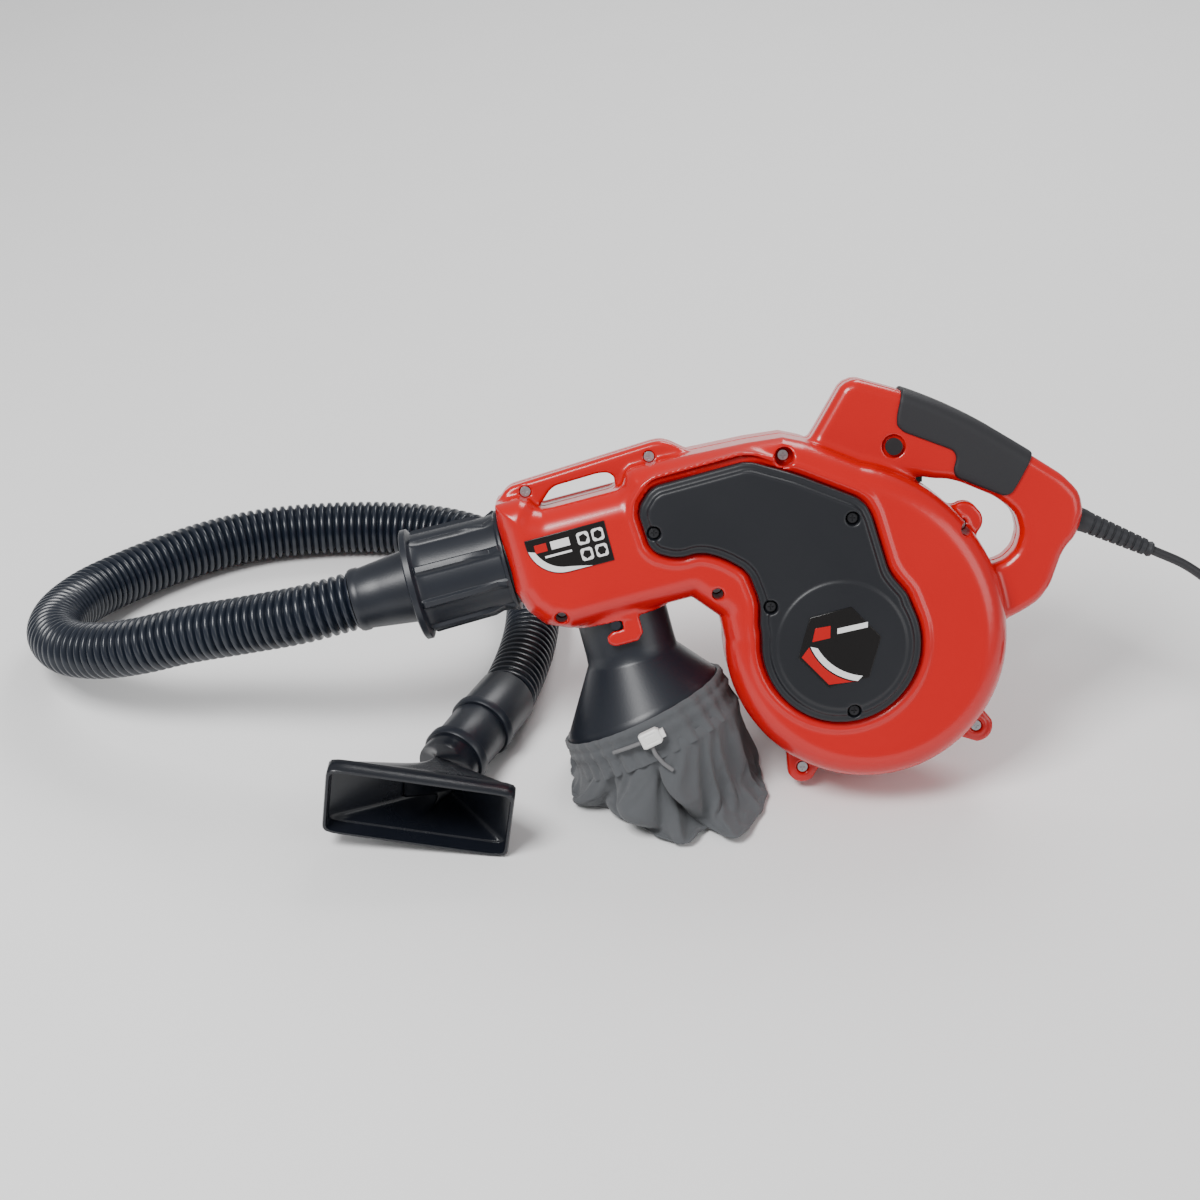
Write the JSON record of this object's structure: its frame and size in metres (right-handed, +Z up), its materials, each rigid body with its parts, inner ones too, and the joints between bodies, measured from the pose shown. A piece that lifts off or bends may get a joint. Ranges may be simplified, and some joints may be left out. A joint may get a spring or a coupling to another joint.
{
  "type": "leaf vacuum mulcher",
  "caption": "Hand-held electric suction fan with scroll housing, D handle, long corrugated hose, wide flat nozzle and cloth dust bag, lying on its motor.",
  "frame": {"origin": "centre of the base of the box round the object without its hoses and cord, on the ground it lies on", "axes": "+Z up; +X along the body from the hose coupling to the rear handle; +Y from the cover side to the motor side, away from the viewer"},
  "size_m": [1.0586, 0.429, 0.292],
  "materials": {
    "red_shell": "glossy moulded red plastic, light moulding waviness",
    "dark_cover": "fine-textured blue-black plastic",
    "steel": "zinc-plated steel",
    "badge": "printed vinyl, semi-gloss",
    "soft_grip": "soft matt overmould",
    "black_plastic": "black moulded plastic",
    "spring_steel": "spring wire",
    "capacitor_case": "potted case",
    "fan_plastic": "glass-filled nylon",
    "windings": "varnished copper windings",
    "copper": "turned copper segments",
    "laminations": "stacked sheet steel",
    "bearing_steel": "ground steel",
    "carbon": "pressed carbon",
    "brass": "folded brass",
    "adapter_plastic": "satin blue-black plastic",
    "seal_rubber": "soft seal",
    "hose_plastic": "corrugated flexible plastic",
    "nozzle_plastic": "satin black plastic",
    "bag_cloth": "plain-woven grey cloth, creased",
    "string": "braided cord",
    "toggle": "white moulded plastic",
    "relief_rubber": "moulded sleeve",
    "cord_rubber": "rubber sheath",
    "tie": "hook-and-loop strap",
    "plug_plastic": "moulded plug",
    "plug_brass": "nickelled brass"
  },
  "bodies": {
    "root": {"near_shell": "red_shell", "far_shell": "red_shell", "suction_cover": "dark_cover", "cover_screws": "steel", "body_screws": "steel", "fan_badge": "badge", "duct_badge": "badge", "grip_near": "soft_grip", "grip_far": "soft_grip", "trigger_pin": "steel", "trigger_spring": "spring_steel", "lock_spring": "spring_steel", "switch_body": "black_plastic", "capacitor": "capacitor_case", "stator": "laminations", "front_bearing": "bearing_steel", "rear_bearing": "bearing_steel", "carbon_brushes": "carbon", "brush_holders": "brass", "motor_housing": "dark_cover", "motor_end_cap": "dark_cover", "motor_screws": "steel", "coupling_seal": "seal_rubber", "inner_tube": "adapter_plastic", "hose_cuff": "adapter_plastic", "suction_hose": "hose_plastic", "nozzle_cuff": "adapter_plastic", "nozzle_adapter": "adapter_plastic", "nozzle": "nozzle_plastic", "strain_relief": "relief_rubber", "cord_clamp": "black_plastic", "clamp_screws": "steel", "power_cord": "cord_rubber", "cord_coil": "cord_rubber", "coil_tie": "tie", "cord_end": "cord_rubber", "plug_body": "plug_plastic", "plug_pins": "plug_brass"},
    "rotor": {"impeller": "fan_plastic", "fan_nut": "steel", "motor_shaft": "steel", "armature": "windings", "commutator": "copper", "cooling_fan": "black_plastic"},
    "trigger": {"trigger": "black_plastic"},
    "lock_button": {"lock_button": "black_plastic"},
    "coupling": {"coupling": "adapter_plastic"},
    "funnel": {"bag_funnel": "adapter_plastic", "funnel_pin": "adapter_plastic", "bag_hem": "bag_cloth", "dust_bag": "bag_cloth", "drawstring": "string", "cord_lock": "toggle", "cord_lock_spring": "spring_steel"},
    "cord_lock_button": {"cord_lock_button": "toggle"}
  },
  "joints": [
    {"name": "fan_spin", "type": "hinge", "parent": "root", "child": "rotor", "pos_m": [0.0914, -0.014, 0.11], "axis": [0, 0.9063, -0.4226], "continuous": true},
    {"name": "trigger_squeeze", "type": "hinge", "parent": "root", "child": "trigger", "pos_m": [0.1224, 0.04305, 0.23235], "axis": [0, -0.9063, 0.4226], "range_deg": [0, 6], "stiffness_Nm_per_rad": 0.6, "springref_deg": -2.86},
    {"name": "lock_press", "type": "slide", "parent": "root", "child": "lock_button", "axis": [0, 0.9063, -0.4226], "range_m": [0, 0.002], "stiffness_N_per_m": 400, "springref_m": -0.001},
    {"name": "coupling_twist", "type": "hinge", "parent": "root", "child": "coupling", "pos_m": [-0.1526, 0.00882, 0.15894], "axis": [0.9659, 0.1094, 0.2346], "range_deg": [0, 25]},
    {"name": "funnel_twist", "type": "hinge", "parent": "root", "child": "funnel", "pos_m": [-0.06927, -0.00668, 0.1257], "axis": [0.2588, -0.4082, -0.8754], "range_deg": [0, 12]},
    {"name": "cord_lock_press", "type": "slide", "parent": "funnel", "child": "cord_lock_button", "axis": [-0.8988, -0.1853, -0.3973], "range_m": [0, 0.0025], "stiffness_N_per_m": 300, "springref_m": -0.001}
  ]
}
